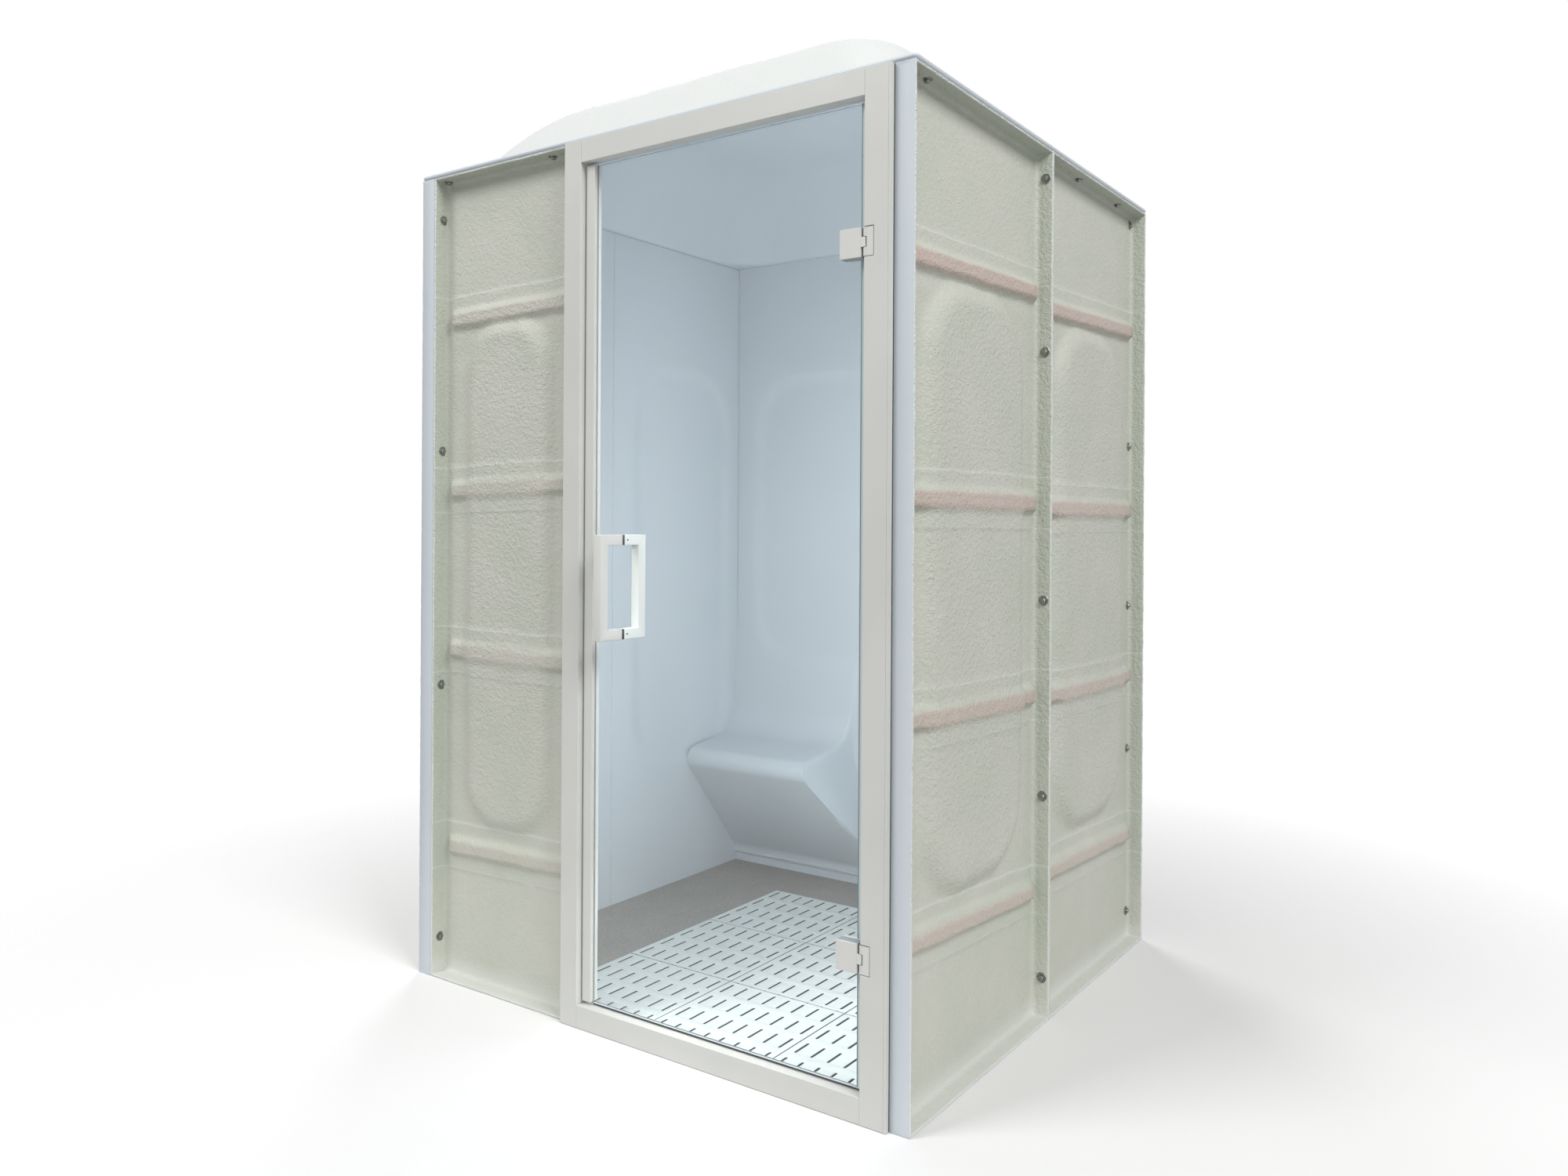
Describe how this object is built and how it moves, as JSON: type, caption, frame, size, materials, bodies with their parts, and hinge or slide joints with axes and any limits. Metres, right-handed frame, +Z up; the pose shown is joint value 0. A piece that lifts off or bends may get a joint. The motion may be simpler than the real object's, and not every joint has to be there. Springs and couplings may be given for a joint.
{
  "type": "steam room",
  "caption": "Bolt-together fibreglass steam cabin with ribbed tray walls, a domed roof, seats moulded into the back wall, slotted floor mats and a framed glass door that swings outward.",
  "frame": {"origin": "middle of the cabin's footprint, at floor level, on the underside of the floor tray", "axes": "+Z up, +Y towards the back wall with the seats, +X towards the hinge side of the door; the door faces -Y"},
  "size_m": [1.51, 1.4653, 2.3573],
  "materials": {
    "wall_fibreglass": "rough laminate outside, smooth gelcoat inside",
    "roof_fibreglass": "white laminate",
    "floor_grey": "matt",
    "mat_plastic": "satin",
    "frame_enamel": "off-white powder coat",
    "fitting_enamel": "white enamel",
    "door_glass": "clear, faintly green at the edges",
    "clear_seal": "clear vinyl",
    "dark_rubber": "matt",
    "zinc_steel": "zinc plated"
  },
  "bodies": {
    "cabin": {"right_front_panel": "wall_fibreglass", "right_rear_panel": "wall_fibreglass", "left_front_panel": "wall_fibreglass", "left_rear_panel": "wall_fibreglass", "front_panel": "wall_fibreglass", "back_left_seat_panel": "wall_fibreglass", "back_right_seat_panel": "wall_fibreglass", "roof_dome": "roof_fibreglass", "floor_tray": "floor_grey", "floor_drain": "zinc_steel", "floor_mat_1": "mat_plastic", "floor_mat_2": "mat_plastic", "floor_mat_3": "mat_plastic", "floor_mat_4": "mat_plastic", "floor_mat_5": "mat_plastic", "floor_mat_6": "mat_plastic", "floor_mat_7": "mat_plastic", "floor_mat_8": "mat_plastic", "floor_mat_9": "mat_plastic", "frame_lock_stile": "frame_enamel", "frame_hinge_stile": "frame_enamel", "frame_head": "frame_enamel", "frame_sill": "frame_enamel", "frame_filler_strip": "frame_enamel", "upper_hinge_frame_leaf": "fitting_enamel", "lower_hinge_frame_leaf": "fitting_enamel", "upper_hinge_pin": "zinc_steel", "lower_hinge_pin": "zinc_steel", "steam_nozzle": "zinc_steel", "steam_nozzle_nut": "zinc_steel", "right_seam_bolt_1": "zinc_steel", "right_seam_bolt_2": "zinc_steel", "right_seam_bolt_3": "zinc_steel", "right_seam_bolt_4": "zinc_steel", "right_seam_bolt_5": "zinc_steel", "rear_corner_bolt_1": "zinc_steel", "rear_corner_bolt_2": "zinc_steel", "rear_corner_bolt_3": "zinc_steel", "rear_corner_bolt_4": "zinc_steel", "rear_corner_bolt_5": "zinc_steel", "front_corner_bolt_1": "zinc_steel", "front_corner_bolt_2": "zinc_steel", "front_corner_bolt_3": "zinc_steel", "front_corner_bolt_4": "zinc_steel", "roof_bolt_1": "zinc_steel", "roof_bolt_2": "zinc_steel", "roof_bolt_3": "zinc_steel", "roof_bolt_4": "zinc_steel", "roof_bolt_5": "zinc_steel"},
    "door": {"door_glass": "door_glass", "door_edge_profile": "frame_enamel", "door_hinge_seal": "clear_seal", "door_bottom_seal": "dark_rubber", "outer_handle": "fitting_enamel", "inner_handle": "fitting_enamel", "upper_hinge_glass_leaf": "fitting_enamel", "lower_hinge_glass_leaf": "fitting_enamel", "upper_hinge_inner_plate": "fitting_enamel", "lower_hinge_inner_plate": "fitting_enamel"}
  },
  "joints": [
    {"name": "door_swing", "type": "hinge", "parent": "cabin", "child": "door", "pos_m": [0.6418, -0.708, 0], "axis": [0, 0, 1], "range_deg": [0, 110]}
  ]
}
